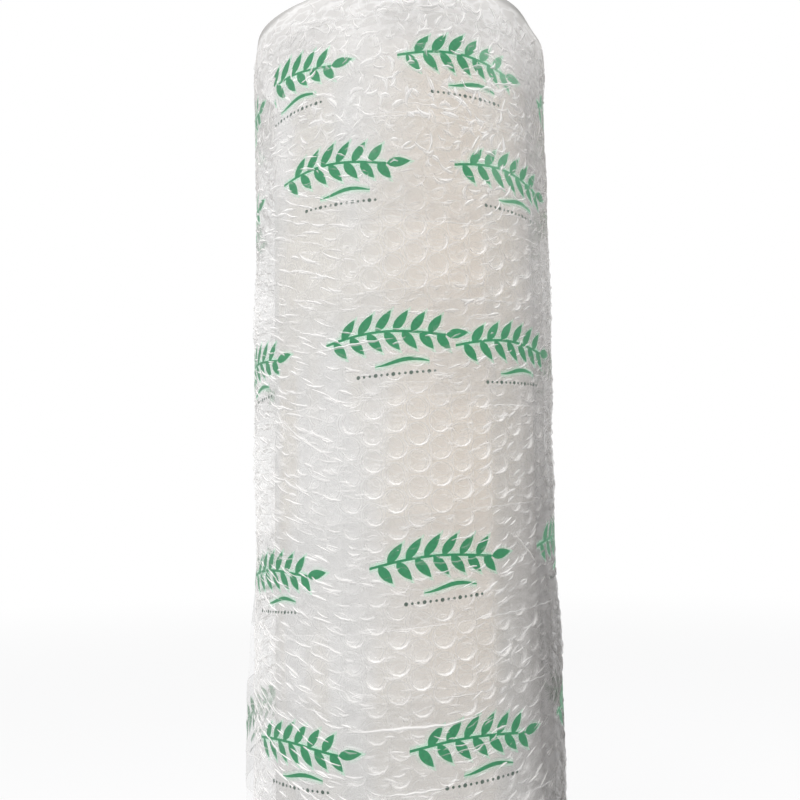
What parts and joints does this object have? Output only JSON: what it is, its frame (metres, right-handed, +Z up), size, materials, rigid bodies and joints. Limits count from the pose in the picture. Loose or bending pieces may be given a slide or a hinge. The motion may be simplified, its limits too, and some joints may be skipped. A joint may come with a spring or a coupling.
{
  "type": "stretch wrap roll",
  "caption": "Roll of clear stretch film on a paper core, wound in bubble wrap that is closed with hoops of clear tape.",
  "frame": {"origin": "centre of the core's bore at the bottom end, on the surface that the roll stands on", "axes": "+Z up along the roll's axis; -Y is the front, where the tape bands rise towards +X"},
  "size_m": [0.1576, 0.1567, 0.508],
  "materials": {
    "paper_core": "matt spiral-wound paperboard",
    "stretch_film": "milky wound film",
    "bubble_sheet": "clear glossy bubble sheet",
    "clear_tape": "clear glossy tape with a green print"
  },
  "bodies": {
    "root": {"core_tube": "paper_core", "film_roll": "stretch_film", "bubble_wrap": "bubble_sheet", "tape_band_1": "clear_tape", "tape_band_2": "clear_tape", "tape_band_3": "clear_tape", "tape_band_4": "clear_tape", "tape_band_5": "clear_tape", "tape_band_6": "clear_tape", "tape_band_7": "clear_tape"}
  },
  "joints": []
}
